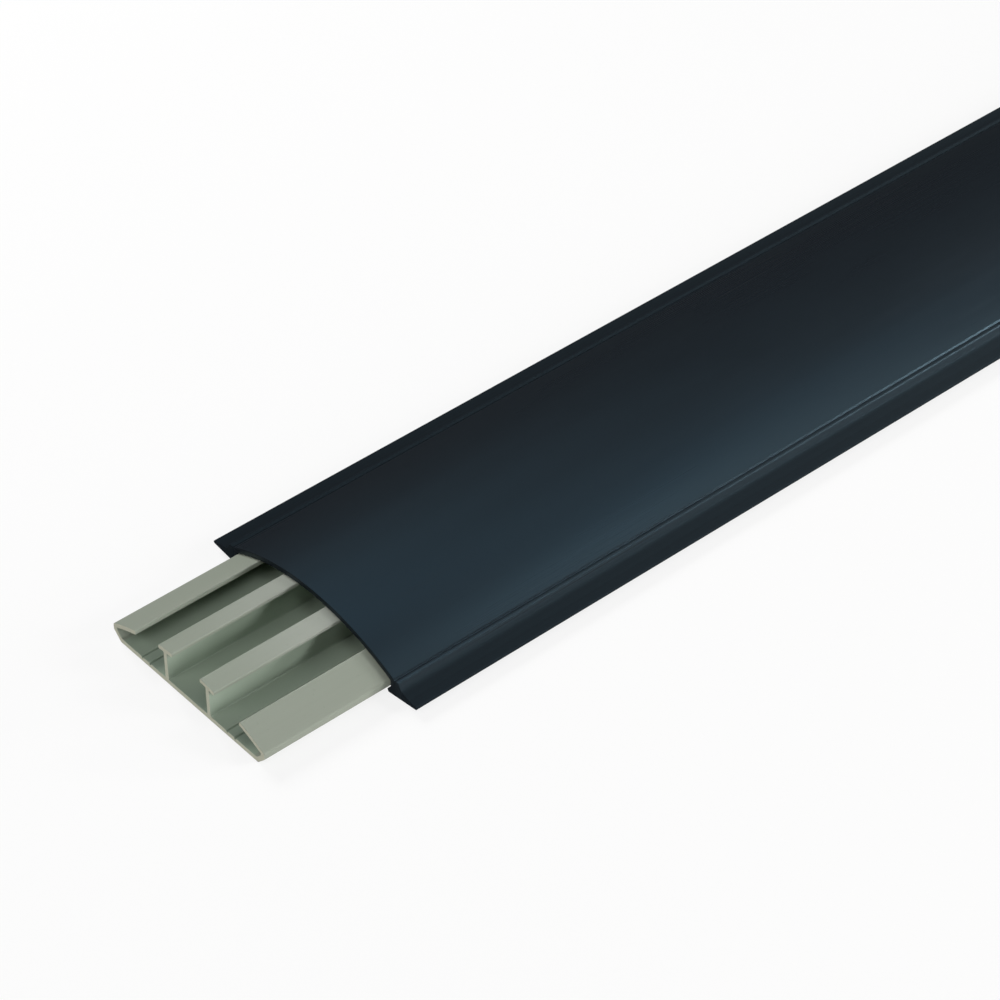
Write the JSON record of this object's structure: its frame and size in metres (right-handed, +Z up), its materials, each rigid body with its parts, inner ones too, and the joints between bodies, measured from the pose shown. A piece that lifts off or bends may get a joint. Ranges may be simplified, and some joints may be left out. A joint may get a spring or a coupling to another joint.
{
  "type": "floor cable channel",
  "caption": "Low floor cable channel: a compartmented base strip with T-shaped dividers under a domed clip-on cover with feathered side wings.",
  "frame": {"origin": "middle of the whole part's bounding box, at floor level, under the base strip", "axes": "+Y runs along the strip from the end where the base shows to the end where the cover stands past the base, +X is across the section, +Z is up from the floor"},
  "size_m": [0.1, 1.048, 0.017],
  "materials": {
    "base_plastic": "semi-matt grey-green extruded PVC, with fine lines along its length",
    "cover_plastic": "satin anthracite extruded PVC, slightly blue, with soft long reflections"
  },
  "bodies": {
    "root": {"channel_base": "base_plastic", "channel_cover": "cover_plastic"}
  },
  "joints": []
}
